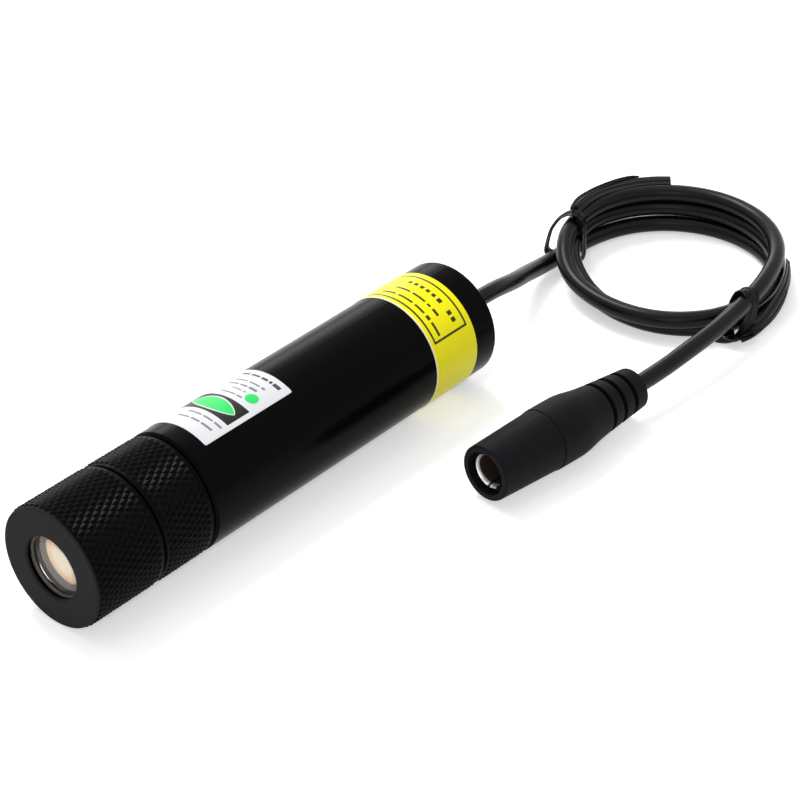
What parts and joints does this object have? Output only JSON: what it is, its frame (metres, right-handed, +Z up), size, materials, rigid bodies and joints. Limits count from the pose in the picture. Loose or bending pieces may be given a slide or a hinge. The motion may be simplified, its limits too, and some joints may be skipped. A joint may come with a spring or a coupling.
{
  "type": "laser diode module",
  "caption": "Round laser module: knurled focusing cap and lock ring on a threaded neck, smooth barrel with blank labels, and a coiled power cord ending in a barrel plug socket.",
  "frame": {"origin": "middle of the barrel's length, on the surface that the barrel rests on", "axes": "+Y along the barrel from its beam end to its cord end, +Z up, +X towards the side where the cord's coil lies"},
  "size_m": [0.0508, 0.1733, 0.0221],
  "materials": {
    "black_anodised": "satin black anodised",
    "brass": "turned",
    "lens_glass": "polished and coated",
    "retainer": "matte black anodised",
    "rubber": "greased",
    "steel": "ground",
    "filter_glass": "polished blue green",
    "copper": "turned copper",
    "crystal": "polished",
    "gold_plate": "gold plated",
    "circuit_board": "solder mask",
    "ferrite": "ferrite",
    "capacitor": "sleeved can",
    "chip_black": "moulded",
    "trimmer_blue": "moulded",
    "screw_brass": "slotted",
    "lead_red": "wire jacket",
    "lead_black": "wire jacket",
    "bush": "soft moulded",
    "label_white": "printed film",
    "label_yellow": "printed film",
    "cord": "soft jacket",
    "tie": "coated wire strip",
    "socket_black": "fine moulded grain",
    "insert_black": "moulded",
    "contact": "plated leaf",
    "pin_plate": "plated"
  },
  "bodies": {
    "module": {"barrel": "black_anodised", "rear_cap": "black_anodised", "laser_head": "brass", "diode_ring": "brass", "head_clamp": "brass", "expander_lens": "lens_glass", "diode_window": "lens_glass", "drag_ring": "rubber", "key_pin": "steel", "focus_spring": "steel", "diode_can": "steel", "infrared_filter": "filter_glass", "crystal_mount": "copper", "laser_crystal": "crystal", "diode_base": "gold_plate", "diode_pins": "gold_plate", "driver_board": "circuit_board", "drive_inductor": "ferrite", "storage_capacitors": "capacitor", "drive_chip": "chip_black", "small_resistors": "chip_black", "trimmer": "trimmer_blue", "trimmer_screw": "screw_brass", "lead_red": "lead_red", "lead_black": "lead_black", "cord_bush": "bush", "name_label": "label_white", "band_label": "label_yellow", "cord_lead": "cord", "cord_coil": "cord", "cord_tail": "cord", "tie_left": "tie", "tie_right": "tie", "socket_shell": "socket_black", "socket_insert": "insert_black", "socket_contact": "contact", "socket_pin": "pin_plate"},
    "cell": {"lens_cell": "brass", "output_lens": "lens_glass", "lens_retainer": "retainer"},
    "cap": {"focus_cap": "black_anodised"},
    "lock": {"lock_ring": "black_anodised"}
  },
  "joints": [
    {"name": "focus_travel", "type": "slide", "parent": "module", "child": "cell", "axis": [0, -1, 0], "range_m": [-0.00026, 0.00101], "deforming": ["focus_spring"]},
    {"name": "focus_turn", "type": "hinge", "parent": "cell", "child": "cap", "pos_m": [0, -0.049, 0.011], "axis": [0, -1, 0], "range_deg": [-90, 360]},
    {"name": "lock_turn", "type": "hinge", "parent": "module", "child": "lock", "pos_m": [0, -0.0289, 0.011], "axis": [0, -1, 0], "range_deg": [-60, 60]}
  ],
  "couplings": [
    {"joint": "focus_travel", "follows": "focus_turn", "m_per_rad": 0.00015915}
  ]
}
